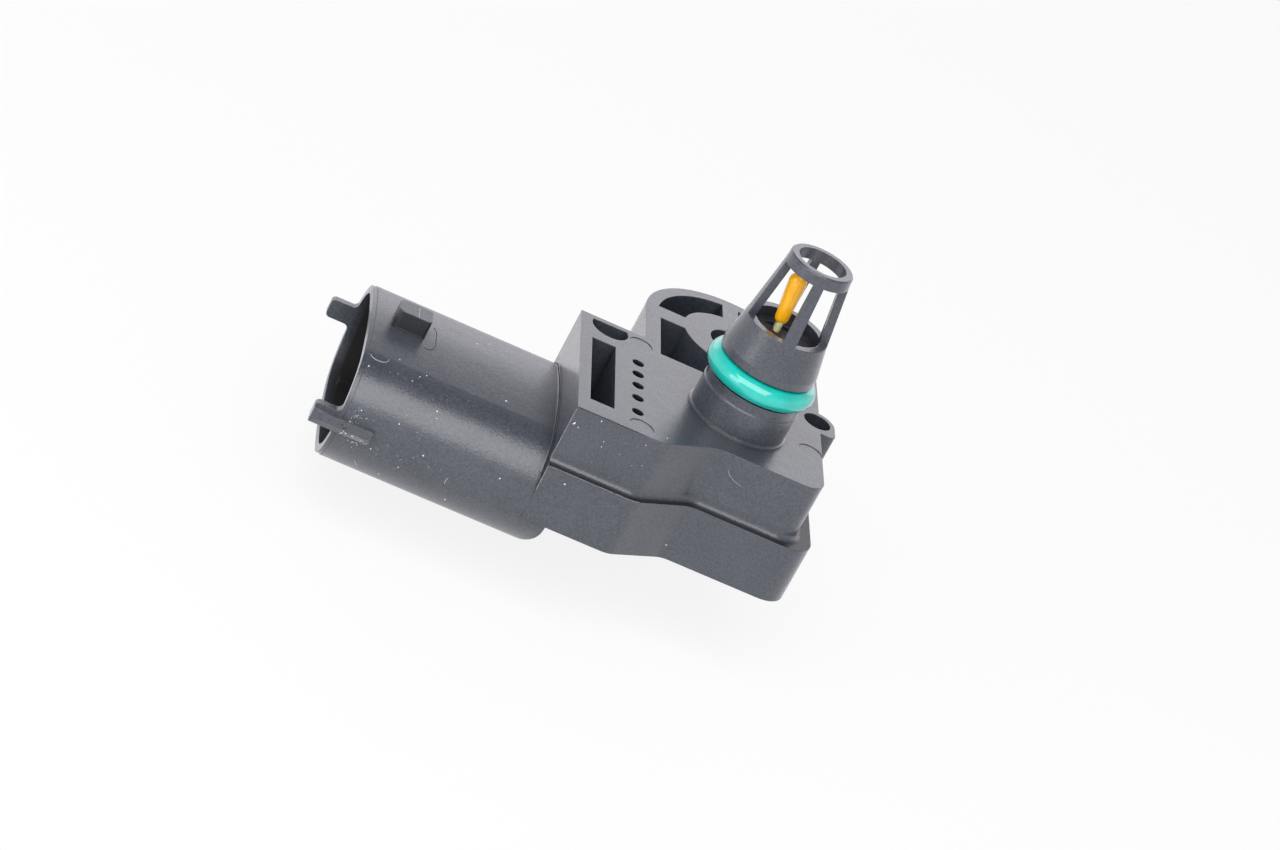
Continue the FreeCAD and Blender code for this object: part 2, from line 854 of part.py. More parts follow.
def hung_block(x, y, length, width, top_z, height):
    """Block below a surface, centred in plan."""
    return box((x - length / 2, y - width / 2, top_z - height), (x + length / 2, y + width / 2, top_z))


def bond_wire(index):
    """Wire from a terminal's tongue to its pad on the board."""
    y = terminal_y(index) + wire_offset_y
    start_x = terminal_inner_x - wire_tongue_inset
    pad_x = board_left_x + wire_pad_inset
    pad_y = min(max(y, board_front_y + board_seat), board_back_y - board_seat)
    low_z = tongue_under_z - wire_hang
    route = [
        (start_x, y, tongue_under_z),
        (start_x, y, low_z),
        (pad_x, pad_y, low_z),
        (pad_x, pad_y, board_under_z),
    ]
    return rounded_tube(route, wire_radius, wire_bend)


def housing(inserts):
    """Moulded housing, with room for the pieces that it is moulded or potted around."""
    solid = body_block()
    for added in (ear(), lug(), shroud_outside(), shroud_root()):
        solid = solid.fuse(added)
    for added in (tongues(), tongue_rib(), latch_block(), port_outside()):
        solid = solid.fuse(added)
    solid = solid.removeSplitter()
    cuts = [ear_pockets(), socket()] + face_pockets() + port_inside() + cavity()
    cuts.append(cylinder(screw_x, screw_y, screw_hole_radius, -ear_thickness - past, past))
    cuts.append(cylinder(lug_hole_x, lug_hole_y, lug_hole_radius, -lug_hole_depth, past))
    for cut in cuts + inserts:
        solid = solid.cut(cut)
    return solid


def thermistor_nodes(leads, potting):
    """Leads, resin, sleeve and bead, each cut to clear the leads that pass through it."""
    both_leads = leads[0].fuse(leads[1])
    glass = bead()
    sleeve = oblong_post(sleeve_wall, resin_top_z, bead_bottom_z + bead_foot_radius)
    return {
        "thermistor_lead_ground": leads[0],
        "thermistor_lead_signal": leads[1],
        "thermistor_resin": potting.cut(both_leads),
        "thermistor_sleeve": sleeve.cut(both_leads).cut(glass),
        "thermistor_bead": glass.cut(both_leads),
    }


def cover_nodes():
    """Back cover in its recess, and the adhesive between them."""
    points, radii = cavity_plan(cover_seat - cover_clearance, cover_corner_round)
    cover = prism(points, radii, cover_top_z - cover_thickness, cover_top_z)
    adhesive = prism(points, radii, cover_top_z, recess_z)
    points, radii = cavity_plan(cover_clearance, cavity_round)
    room = prism(points, radii, cover_top_z - past, recess_z + past)
    return {"back_cover": cover, "cover_adhesive": adhesive.cut(room)}


def board_nodes():
    """Ceramic board and the two lines of adhesive that hold it to its seats."""
    nodes = {}
    nodes["circuit_board"] = box(
        (board_left_x, board_front_y, board_under_z), (board_right_x, board_back_y, board_top_z)
    )
    for name, low_y in (("front", board_front_y), ("back", board_back_y - board_seat)):
        nodes["board_adhesive_" + name] = box(
            (board_left_x, low_y, board_top_z), (board_right_x, low_y + board_seat, shelf_z)
        )
    return nodes


def sensing_nodes():
    """Pressure chip on its pedestal, in the gel that fills a frame on the board's underside."""
    chip_top_z = board_under_z - pedestal_height
    room_side = gel_frame_side - 2 * gel_frame_wall

    def hung(side, top_z, height):
        return hung_block(gel_frame_x, board_middle_y, side, side, top_z, height)

    pedestal = hung(pedestal_side, board_under_z, pedestal_height)
    chip = hung(pressure_chip_side, chip_top_z, pressure_chip_thickness)
    frame = hung(gel_frame_side, board_under_z, gel_frame_height)
    room = hung(room_side, board_under_z, gel_frame_height + past)
    gel = hung(room_side, board_under_z, gel_depth)
    return {
        "glass_pedestal": pedestal,
        "pressure_chip": chip,
        "gel_frame": frame.cut(room),
        "protective_gel": gel.cut(pedestal).cut(chip),
    }


def component_nodes():
    """Signal chip, capacitors and resistors on the board's underside, and the bond wires."""
    nodes = {}
    nodes["signal_chip"] = hung_block(
        board_left_x + signal_chip_inset,
        board_middle_y + signal_chip_offset,
        signal_chip_length,
        signal_chip_width,
        board_under_z,
        signal_chip_height,
    )
    for index in range(component_count):
        y = board_middle_y + component_first_offset - index * component_pitch
        number = str(index + 1)
        nodes["filter_capacitor_" + number] = hung_block(
            board_left_x + capacitor_inset,
            y,
            capacitor_length,
            capacitor_width,
            board_under_z,
            capacitor_height,
        )
        nodes["trim_resistor_" + number] = hung_block(
            board_left_x + resistor_inset,
            y,
            resistor_length,
            resistor_width,
            board_under_z,
            resistor_height,
        )
    for index, name in enumerate(terminal_names):
        nodes["bond_wire_" + name] = bond_wire(index)
    return nodes


def build():
    """Every piece of the sensor by its name."""
    terminals = [terminal(index) for index in range(len(terminal_names))]
    leads = [lead(-1, "ground"), lead(1, "temperature")]
    potting = resin()
    nodes = {"housing": housing(terminals + [potting])}
    for name, shape in zip(terminal_names, terminals):
        nodes["terminal_" + name] = shape
    nodes.update(thermistor_nodes(leads, potting))
    nodes["port_o_ring"] = Part.makeTorus(seal_radius, seal_cord / 2, Vector(0, 0, seal_centre_z))
    nodes.update(cover_nodes())
    nodes.update(board_nodes())
    nodes.update(sensing_nodes())
    nodes.update(component_nodes())
    return nodes


os.makedirs("parts", exist_ok=True)
for name, shape in build().items():
    state = "valid" if shape.isValid() else "NOT VALID"
    print(name, len(shape.Solids), "solids", round(shape.Volume, 3), "mm3", state)
    shape.exportStep("parts/" + name + ".step")
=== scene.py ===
import json
import math
import random

import bmesh
import bpy
from mathutils import Matrix, Vector
from mathutils.bvhtree import BVHTree


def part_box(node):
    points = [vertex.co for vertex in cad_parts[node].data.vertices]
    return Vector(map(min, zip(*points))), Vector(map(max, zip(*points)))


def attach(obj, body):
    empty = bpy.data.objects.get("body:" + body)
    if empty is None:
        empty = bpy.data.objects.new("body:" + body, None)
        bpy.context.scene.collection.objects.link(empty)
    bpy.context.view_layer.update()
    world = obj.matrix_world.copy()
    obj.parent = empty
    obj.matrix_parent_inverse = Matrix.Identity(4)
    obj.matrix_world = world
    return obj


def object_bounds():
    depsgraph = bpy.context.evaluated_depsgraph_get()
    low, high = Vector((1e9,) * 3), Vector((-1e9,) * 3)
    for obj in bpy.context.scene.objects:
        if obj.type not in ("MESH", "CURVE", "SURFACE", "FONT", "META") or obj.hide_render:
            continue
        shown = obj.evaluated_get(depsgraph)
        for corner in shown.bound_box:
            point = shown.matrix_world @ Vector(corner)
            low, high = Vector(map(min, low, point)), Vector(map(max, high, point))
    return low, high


# A manifold absolute pressure sensor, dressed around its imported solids.
# Metres. Z runs along the port, the connector's mouth faces -X, and +Y points to the screw ear.

MM = 0.001

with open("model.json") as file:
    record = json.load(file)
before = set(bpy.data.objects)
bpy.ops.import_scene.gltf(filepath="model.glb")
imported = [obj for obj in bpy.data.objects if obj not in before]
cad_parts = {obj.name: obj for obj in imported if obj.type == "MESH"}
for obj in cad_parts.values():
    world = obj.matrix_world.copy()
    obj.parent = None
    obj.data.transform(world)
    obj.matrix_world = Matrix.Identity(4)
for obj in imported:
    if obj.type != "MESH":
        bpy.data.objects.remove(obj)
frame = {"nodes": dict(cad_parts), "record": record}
nodes = frame["nodes"]
cad_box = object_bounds()
housing_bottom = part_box("housing")[0].z

# Camera, fitted to the photograph: its place and the directions of its right, down and forward axes
CAMERA_PLACE = Vector((-97.2, -400.4, 180.3)) * MM
CAMERA_RIGHT = Vector((0.9004, 0.0038, 0.4351))
CAMERA_DOWN = Vector((0.3887, -0.4566, -0.8003))
CAMERA_FORWARD = Vector((0.1956, 0.8897, -0.4126))
CAMERA_LENS = 115.29
SENSOR_WIDTH = 36.0
NEAREST_SEEN = 0.01
FARTHEST_SEEN = 20

# Stage: the floor, and how much of it glows white for the camera and for reflections
WHITE = (1, 1, 1, 1)
FLOOR_GAP = 6 * MM
FLOOR_HALF = 3.0
FLOOR_COLOR = (0.86, 0.86, 0.875, 1)
FLOOR_GLOW = 0.84
MIRRORED_GLOW = 0.35

# Sky: its strength falls from the horizon to overhead, between two sines of its height
HORIZON_STRENGTH = 1.0
ZENITH_STRENGTH = 0.3
SKY_FALL = (0.15, 0.85)
SKY_TINT = (0.97, 0.955, 1.03, 1)

# Softboxes: direction from the object, distance, width, height and radiance
SOFTBOXES = {
    "key": ((-0.15, -0.62, 0.78), 0.50, 0.55, 0.46, 3.0),
    "side": ((-0.78, -0.58, 0.28), 0.50, 0.22, 0.30, 2.2),
    "back": ((0.10, 0.92, 0.30), 0.60, 0.90, 0.30, 0.62),
}
LIT_POINT = Vector((-14, 0, -2)) * MM

# The connector's socket, whose walls get painted shade: its middle line in (y, z), how far its wall reaches
# from it, and its two ends
SOCKET_MIDDLE_Y = -1.25 * MM
SOCKET_MIDDLE_Z = -12.5 * MM
SOCKET_HALF_FLAT = 6.55 * MM
SOCKET_REACH = 6.4 * MM
SOCKET_WALL_BLUR = 0.1 * MM
MOUTH_FADE = (-41.3 * MM, -40.2 * MM)
SOCKET_END_FADE = (-24.6 * MM, -24.2 * MM)

# The latch block's sides, below its top, and how strongly painted shade darkens them
BLOCK_LOW = Vector((-39.1, -2.2, -5.6)) * MM
BLOCK_HIGH = Vector((-35.0, 0.9, -3.25)) * MM
BLOCK_SHADE = 0.75

# The ledge round the body: its height, with its lower and upper fade, and how level its flat is; its flat
# gets painted shade and a duller skin
LEDGE_Z = -7.2 * MM
LEDGE_LOW_FADE = (LEDGE_Z - 0.14 * MM, LEDGE_Z - 0.06 * MM)
LEDGE_HIGH_FADE = (LEDGE_Z + 0.05 * MM, LEDGE_Z + 0.30 * MM)
LEDGE_LEVEL = (0.55, 0.9)
LEDGE_SHADE = 0.78

# The duller middle of the shroud, above and below, which ends at the body's wall
BODY_WALL_X = -19.0 * MM
SHROUD_WALL_FADE = (BODY_WALL_X - 0.3 * MM, BODY_WALL_X - 0.1 * MM)
SHROUD_NEAR_FADE = (-8.5 * MM, -4.0 * MM)
SHROUD_FAR_FADE = (6.0 * MM, 9.5 * MM)
SHROUD_DULLING = 0.45

# Moulded plastic: mottle and cloud in its tone, pale specks, painted shade in creases, waves and grain in its
# skin
MOTTLE_SIZE = 0.30 * MM
CLOUD_SIZE = 4 * MM
MOTTLE_SHARE = 0.8
CLOUD_SHARE = 0.2
SPECK_SPACING = 0.22 * MM
SPECK_EDGE = (0.10, 0.26)
SPECK_SHARE = 0.30
SPECK_COLOR = (0.16, 0.155, 0.15, 1)
# Near-black colour of the painted shade
PAINTED_SHADE_COLOR = (0.003, 0.003, 0.0035, 1)
CREASE_REACH = 1.8 * MM
CREASE_OPENNESS = (0.30, 0.78)
CREASE_DULLING = 0.6
SOCKET_ROUGHNESS = 0.8
WAVE_SIZE = 1.6 * MM
WAVE_DEPTH = 0.022 * MM
GRAIN_SIZE = 0.20 * MM
GRAIN_DEPTH = 0.020 * MM
SKIN_GRAIN_DEPTH = 0.032 * MM

# The resin's pool is brown at the front left; past these y and x it turns black
POOL_FRONT_FADE = (-0.9 * MM, 0.5 * MM)
POOL_LEFT_FADE = (0.1 * MM, 0.9 * MM)

# Finishes of the small pieces: dark and light tone, size of the clouds in mm, roughness, depth of the
# grain in mm and how metallic it is
SMALL_FINISHES = {
    "silicone_adhesive": ((0.30, 0.30, 0.32, 1), (0.42, 0.42, 0.44, 1), 1.2, 0.45, 0.02, 0.0),
    "tinned_contact": ((0.55, 0.54, 0.51, 1), (0.72, 0.71, 0.68, 1), 1.0, 0.32, 0.003, 1.0),
    "lead_wire": ((0.50, 0.46, 0.36, 1), (0.68, 0.64, 0.52, 1), 0.8, 0.35, 0.003, 1.0),
    "sleeve_plastic": ((0.55, 0.55, 0.26, 1), (0.72, 0.72, 0.40, 1), 0.5, 0.4, 0.005, 0.0),
    "board_ceramic": ((0.70, 0.70, 0.67, 1), (0.82, 0.82, 0.79, 1), 2.0, 0.5, 0.004, 0.0),
    "chip_silicon": ((0.05, 0.05, 0.07, 1), (0.09, 0.09, 0.12, 1), 0.6, 0.18, 0.0, 0.0),
    "frame_plastic": ((0.05, 0.05, 0.055, 1), (0.08, 0.08, 0.085, 1), 0.8, 0.45, 0.005, 0.0),
    "capacitor_ceramic": ((0.34, 0.23, 0.14, 1), (0.46, 0.32, 0.20, 1), 0.4, 0.5, 0.004, 0.0),
    "resistor_film": ((0.02, 0.02, 0.02, 1), (0.05, 0.05, 0.05, 1), 0.4, 0.35, 0.003, 0.0),
    "bond_wire": ((0.70, 0.70, 0.70, 1), (0.85, 0.85, 0.85, 1), 0.4, 0.25, 0.0, 1.0),
}

# The larger grains of dust on the housing: place and size, in mm
DUST_GRAINS = [
    ((-25.0, -7.5, -5.5), 0.28),
    ((-18.5, -13.5, -2.0), 0.24),
    ((-40.5, -15.0, -13.0), 0.20),
    ((-40.5, -11.0, -6.5), 0.18),
    ((-16.5, -14.5, -8.5), 0.18),
    ((-27.0, -13.5, -16.5), 0.18),
    ((-8.5, -12.0, 0.0), 0.17),
    ((-23.0, -14.5, -11.0), 0.17),
    ((-31.5, -14.5, -12.0), 0.17),
    ((-29.0, 2.5, -5.5), 0.16),
    ((-27.5, 4.0, -5.5), 0.16),
    ((-32.0, -12.5, -7.5), 0.16),
    ((-2.5, -10.5, -12.5), 0.14),
]

# Patches of dust: middle, spread along each axis, how many grains and their size, in mm
COARSE_DUST = [
    ((-39.4, -14.9, -12.2), (1.6, 0.8, 1.6), 16, 0.12),
    ((-35.0, -14.2, -13.6), (5.5, 1.0, 3.4), 11, 0.12),
    ((-35.0, -8.5, -6.0), (8.0, 5.0, 0.8), 6, 0.12),
    ((-14.8, -13.5, -2.0), (5.0, 0.4, 2.4), 8, 0.12),
]
YELLOW_DUST = [((-38.8, -14.5, -13.8), (0.7, 0.2, 0.4), 7, 0.12)]
FINE_DUST = [
    ((-38.6, -15.1, -12.9), (1.1, 0.5, 0.6), 120, 0.055),
    ((-40.0, -14.6, -10.8), (0.7, 0.6, 0.9), 26, 0.055),
    ((-34.0, -14.2, -13.0), (6.5, 1.2, 3.2), 52, 0.055),
    ((-32.0, -10.5, -6.6), (7.0, 2.4, 1.2), 34, 0.055),
    ((-14.0, -13.6, -5.0), (3.5, 0.8, 3.6), 10, 0.055),
]

# How finely a grain is divided: the larger ones twice, the finest once
ROUND_GRAIN = 2
PLAIN_GRAIN = 1

# Fibres and scratches: their points and radius, in mm
FIBRES = {
    "fibre_shroud": ([
        (-40.9, -9.2, -6.0), (-40.3, -9.8, -6.0), (-39.4, -9.9, -6.0), (-38.7, -9.5, -5.9),
        (-38.6, -8.9, -5.8),
    ], 0.022),
    "fibre_by_rib": ([(-40.0, -14.4, -10.8), (-39.5, -14.4, -11.0)], 0.016),
    "fibre_low": ([(-37.7, -13.5, -16.2), (-37.3, -13.1, -16.8), (-36.9, -12.7, -17.2)], 0.022),
    "fibre_side": ([(-28.0, -14.4, -14.2), (-28.1, -14.5, -13.8), (-28.0, -14.6, -13.3)], 0.022),
    "fibre_wall": ([(-0.3, -9.1, -1.9), (0.3, -9.1, -2.5), (1.0, -9.1, -2.9), (2.0, -9.1, -3.1)], 0.011),
    "scratch_rib": ([
        (-40.9, -15.4, -11.7), (-40.6, -15.4, -12.3), (-40.4, -15.3, -12.7), (-39.9, -15.1, -13.1),
    ], 0.022),
    "scratch_latch": ([(-36.7, 0.6, -3.1), (-36.7, -2.0, -3.1)], 0.018),
}

# Lines on the skin: painted highlights along edges, dark in the parting line, painted shade in the crease
# at the foot of the shroud, and dark in the round tool mark by the latch block; their points and radius, in
# mm
PAINTED_EDGE_HIGHLIGHTS = {
    "edge_wall_corner": ([(-19.0, -13.5, -0.25), (-19.0, -13.5, -7.05)], 0.03),
    "edge_lower_corner": ([(-19.0, -14.6, -7.3), (-19.0, -14.6, -10.6)], 0.03),
    "edge_ledge": ([(-18.9, -14.6, -7.2), (-8.0, -14.6, -7.2)], 0.022),
}
DARK_EDGES = {
    "parting_line": ([(-18.9, -13.5, -0.02), (-11.2, -13.5, -0.02)], 0.045),
    # A near-black thread along the foot of the shroud, painted shade in the crease there
    "painted_shade_at_wall": ([
        (-19.1, 9.7, -7.2), (-19.1, 7.6, -6.0), (-19.1, 5.3, -5.6), (-19.1, 2.0, -5.2), (-19.1, -1.2, -5.1),
        (-19.1, -4.5, -5.2), (-19.1, -7.8, -5.6), (-19.1, -10.2, -6.0), (-19.1, -12.2, -7.2),
        (-19.1, -13.8, -9.1), (-19.1, -14.5, -10.7),
    ], 0.055),
    "mark_by_latch": ([
        (-34.1, 1.6, -5.3), (-33.8, 0.6, -5.2), (-33.8, -1.0, -5.2), (-33.8, -2.6, -5.2), (-34.1, -3.7, -5.3),
        (-34.7, -4.0, -5.3), (-35.2, -3.8, -5.3),
    ], 0.03),
}

# The share of a thread that lies below the surface
FIBRE_SINK = 0.3
EDGE_HIGHLIGHT_SINK = 0.5
DARK_EDGE_SINK = 0.4

# Threads: distance between their rings, corners of a ring, and the taper over the rings at each end
THREAD_STEP = 0.22 * MM
THREAD_CORNERS = 6
THREAD_TIP = 0.35
THREAD_TAPER_RINGS = 4

# The dot where the round tool mark by the latch block begins, in mm
MARK_DOT = (-34.1, 1.6, -5.3)
MARK_DOT_SIZE = 0.26
MARK_DOT_SINK = 0.03


class Shader:
    """Short calls for building the nodes of one material, or of the world."""

    def __init__(self, owner, output_kind="ShaderNodeOutputMaterial"):
        owner.use_nodes = True
        self.owner = owner
        self.tree = owner.node_tree
        self.tree.nodes.clear()
        self.output = self.add(output_kind)

    def add(self, kind, **settings):
        node = self.tree.nodes.new(kind)
        for key, value in settings.items():
            setattr(node, key, value)
        return node

    def put(self, socket, value):
        """Links what comes from another node, or sets a plain value."""
        if isinstance(value, bpy.types.NodeSocket):
            self.tree.links.new(value, socket)
        else:
            socket.default_value = value

    def feed(self, node, **values):
        """Fills the inputs of a node, given by name with underscores for spaces."""
        for key, value in values.items():
            self.put(node.inputs[key.replace("_", " ")], value)
        return node

    def place(self):
        """The point on the object, in metres."""
        return self.add("ShaderNodeTexCoord").outputs["Object"]

    def axes(self, vector):
        """The X, Y and Z of a vector."""
        return self.feed(self.add("ShaderNodeSeparateXYZ"), Vector=vector).outputs

    def noise(self, size, detail=4.0, rough=0.55):
        """Cloudy noise whose features are about one size across."""
        node = self.add("ShaderNodeTexNoise")
        self.feed(node, Vector=self.place(), Scale=1 / size, Detail=detail, Roughness=rough)
        return node.outputs["Fac"]

    def cells(self, size):
        """Distance to the nearest of scattered points about one size apart."""
        node = self.add("ShaderNodeTexVoronoi")
        return self.feed(node, Vector=self.place(), Scale=1 / size).outputs["Distance"]

    def remap(self, value, low, high, to_low=0.0, to_high=1.0):
        node = self.add("ShaderNodeMapRange", clamp=True)
        self.feed(node, Value=value, From_Min=low, From_Max=high, To_Min=to_low, To_Max=to_high)
        return node.outputs["Result"]

    def fade(self, value, low, high):
        """1 up to the low limit, 0 past the high one."""
        return self.remap(value, low, high, 1.0, 0.0)

    def math(self, operation, first, second=0.0):
        node = self.add("ShaderNodeMath", operation=operation)
        for socket, value in zip(node.inputs, (first, second)):
            self.put(socket, value)
        return node.outputs["Value"]

    def product(self, first, *others):
        for other in others:
            first = self.math("MULTIPLY", first, other)
        return first

    def highest(self, first, *others):
        for other in others:
            first = self.math("MAXIMUM", first, other)
        return first

    def blend(self, amount, first, second):
        """Colour between two others."""
        node = self.add("ShaderNodeMix", data_type="RGBA")
        self.put(node.inputs["Factor"], amount)
        self.put(node.inputs[6], first)
        self.put(node.inputs[7], second)
        return node.outputs[2]

    def tone(self, cloud, dark, light):
        """Colour that runs from dark to light with a cloudy noise."""
        return self.blend(self.remap(cloud, 0.3, 0.7), dark, light)

    def bump(self, height, depth, normal=None):
        """Bump whose height runs from 0 to depth, in metres."""
        node = self.feed(self.add("ShaderNodeBump"), Height=height, Distance=depth, Strength=1.0)
        if normal is not None:
            self.put(node.inputs["Normal"], normal)
        return node.outputs["Normal"]

    def inside_box(self, low, high):
        """1 inside a box given by two corners, 0 outside."""
        axes = self.axes(self.place())
        share = 1.0
        for name, first, last in zip("XYZ", low, high):
            share = self.product(share, self.math("GREATER_THAN", axes[name], first))
            share = self.product(share, self.math("LESS_THAN", axes[name], last))
        return share

    def openness(self, distance):
        """1 where a surface lies open, towards 0 in creases and at the feet of walls."""
        return self.feed(self.add("ShaderNodeAmbientOcclusion", samples=4), Distance=distance).outputs["AO"]

    def soft_edges(self, radius):
        return self.feed(self.add("ShaderNodeBevel", samples=6), Radius=radius).outputs["Normal"]

    def finish(self, node):
        """Joins a shading node to the output."""
        self.tree.links.new(node.outputs[0], self.output.inputs["Surface"])
        return self.owner

    def surface(self, **values):
        """Principled surface, fed and joined to the output."""
        return self.finish(self.feed(self.add("ShaderNodeBsdfPrincipled"), **values))


def new_shader(name):
    return Shader(bpy.data.materials.new(name))


def socket_share(shader):
    """1 on the walls inside the connector's socket, 0 elsewhere: where painted shade darkens them."""
    axes = shader.axes(shader.place())
    across = shader.math("ABSOLUTE", shader.math("SUBTRACT", axes["Y"], SOCKET_MIDDLE_Y))
    across = shader.highest(shader.math("SUBTRACT", across, SOCKET_HALF_FLAT), 0.0)
    up = shader.math("SUBTRACT", axes["Z"], SOCKET_MIDDLE_Z)
    away = shader.math("ADD", shader.math("POWER", across, 2.0), shader.product(up, up))
    inside = shader.fade(shader.math("SQRT", away), SOCKET_REACH - SOCKET_WALL_BLUR, SOCKET_REACH)
    past_mouth = shader.remap(axes["X"], *MOUTH_FADE)
    before_end = shader.fade(axes["X"], *SOCKET_END_FADE)
    return shader.product(inside, past_mouth, before_end)


def ledge_share(shader):
    """1 on the flat of the ledge round the body, 0 elsewhere: where painted shade goes."""
    axes = shader.axes(shader.place())
    facing = shader.axes(shader.add("ShaderNodeNewGeometry").outputs["Normal"])
    return shader.product(
        shader.remap(axes["Z"], *LEDGE_LOW_FADE),
        shader.fade(axes["Z"], *LEDGE_HIGH_FADE),
        shader.math("GREATER_THAN", axes["X"], BODY_WALL_X),
        shader.remap(facing["Z"], *LEDGE_LEVEL),
    )


def shroud_middle_share(shader):
    """1 along the middle of the shroud, above and below, falling off to its sides, 0 elsewhere."""
    axes = shader.axes(shader.place())
    return shader.product(
        shader.fade(axes["X"], *SHROUD_WALL_FADE),
        shader.remap(axes["Y"], *SHROUD_NEAR_FADE),
        shader.fade(axes["Y"], *SHROUD_FAR_FADE),
    )


def moulded_plastic(name, dark, light, edge_radius):
    """Glass-filled black plastic: speckled grain, faint flow marks and a thin skin that shines, with painted
    shade in the socket, in creases, on the latch block's sides and on the ledge.
    """
    shader = new_shader(name)
    mottle = shader.noise(MOTTLE_SIZE, detail=3.0, rough=0.7)
    cloud = shader.noise(CLOUD_SIZE, detail=2.0)
    tone = shader.math("ADD", shader.product(mottle, MOTTLE_SHARE), shader.product(cloud, CLOUD_SHARE))
    color = shader.blend(shader.remap(tone, 0.38, 0.62), dark, light)
    speck = shader.fade(shader.cells(SPECK_SPACING), *SPECK_EDGE)
    color = shader.blend(shader.product(speck, SPECK_SHARE), color, SPECK_COLOR)

    # Painted shade: the socket's walls, creases found by ambient occlusion, the latch block's sides and the
    # ledge's flat turn towards near black
    socket = socket_share(shader)
    crease = shader.fade(shader.openness(CREASE_REACH), *CREASE_OPENNESS)
    block = shader.product(shader.inside_box(BLOCK_LOW, BLOCK_HIGH), BLOCK_SHADE)
    ledge = shader.product(ledge_share(shader), LEDGE_SHADE)
    color = shader.blend(shader.highest(socket, crease, block, ledge), color, PAINTED_SHADE_COLOR)

    rough = shader.remap(shader.noise(0.22 * MM, detail=2.0), 0.3, 0.7, 0.32, 0.46)
    rough = shader.highest(rough, shader.product(socket, SOCKET_ROUGHNESS))
    hollow = shader.highest(socket, shader.product(crease, CREASE_DULLING))
    dull = shader.highest(shader.product(shroud_middle_share(shader), SHROUD_DULLING), ledge)
    skin = shader.product(shader.math("SUBTRACT", 1.0, hollow), shader.math("SUBTRACT", 1.0, dull))

    smooth = shader.soft_edges(edge_radius)
    smooth = shader.bump(shader.noise(WAVE_SIZE, detail=2.0), WAVE_DEPTH, smooth)
    grain = shader.noise(GRAIN_SIZE, detail=2.0, rough=0.6)
    return shader.surface(
        Base_Color=color,
        Roughness=rough,
        Specular_IOR_Level=0.5,
        Normal=shader.bump(grain, GRAIN_DEPTH, smooth),
        Coat_Weight=skin,
        Coat_Roughness=0.13,
        Coat_Normal=shader.bump(grain, SKIN_GRAIN_DEPTH, smooth),
    )


def dust_and_painted_line_material(name, dark, light):
    """Dull matter uneven in tone: dust, lint and dark marks, and the painted edge highlights and crease
    shade.
    """
    shader = new_shader(name)
    color = shader.tone(shader.noise(0.08 * MM, detail=2.0), dark, light)
    normal = shader.bump(shader.noise(0.04 * MM, detail=2.0), 0.004 * MM)
    return shader.surface(Base_Color=color, Roughness=0.85, Normal=normal)


def seal_rubber(name):
    """Teal rubber with a moulded gloss."""
    shader = new_shader(name)
    cloud = shader.noise(1.5 * MM, detail=3.0)
    return shader.surface(
        Base_Color=shader.tone(cloud, (0.0, 0.44, 0.36, 1), (0.002, 0.52, 0.43, 1)),
        Roughness=shader.remap(shader.noise(0.6 * MM), 0.3, 0.7, 0.09, 0.16),
        Specular_IOR_Level=0.7,
        Normal=shader.bump(shader.noise(0.9 * MM, detail=1.0), 0.012 * MM),
        Coat_Weight=0.7,
        Coat_Roughness=0.06,
    )


def bead_coating(name):
    """Amber dip coating, faintly uneven in colour."""
    shader = new_shader(name)
    cloud = shader.noise(0.9 * MM, detail=2.0)
    return shader.surface(
        Base_Color=shader.tone(cloud, (0.97, 0.44, 0.006, 1), (1.0, 0.50, 0.012, 1)),
        Roughness=0.14,
        Normal=shader.bump(shader.noise(1.2 * MM, detail=1.0), 0.008 * MM),
        Subsurface_Weight=0.15,
        Subsurface_Radius=(1.0, 0.5, 0.1),
        Subsurface_Scale=0.6 * MM,
        Coat_Weight=0.2,
        Coat_Roughness=0.12,
    )


def potting(name):
    """Resin, brown at the front left of its pool and sooty black elsewhere."""
    shader = new_shader(name)
    axes = shader.axes(shader.place())
    front = shader.fade(axes["Y"], *POOL_FRONT_FADE)
    left = shader.fade(axes["X"], *POOL_LEFT_FADE)
    cloud = shader.remap(shader.noise(0.9 * MM, detail=3.0), 0.35, 0.6)
    brown = shader.product(left, front, cloud)
    color = shader.blend(brown, (0.006, 0.006, 0.007, 1), (0.085, 0.043, 0.016, 1))
    normal = shader.bump(shader.noise(0.7 * MM, detail=2.0), 0.04 * MM)
    return shader.surface(Base_Color=color, Roughness=0.55, Specular_IOR_Level=0.25, Normal=normal)


def cloudy(name, dark, light, size, rough, grain, metallic):
    """Plain surface with uneven tone and a fine grain, for the small pieces; size and grain in mm."""
    shader = new_shader(name)
    size *= MM
    values = {
        "Base_Color": shader.tone(shader.noise(size, detail=3.0), dark, light),
        "Metallic": metallic,
        "Roughness": shader.remap(shader.noise(size / 3, detail=2.0), 0.3, 0.7, rough * 0.85, rough * 1.15),
    }
    if grain > 0:
        values["Normal"] = shader.bump(shader.noise(size / 4, detail=2.0), grain * MM)
    return shader.surface(**values)


def clear(name, tint, rough):
    """See-through glass or gel with faint unevenness."""
    shader = new_shader(name)
    normal = shader.bump(shader.noise(0.8 * MM, detail=1.0), 0.005 * MM)
    return shader.surface(
        Base_Color=tint, Roughness=rough, Normal=normal, Transmission_Weight=0.9, IOR=1.42
    )


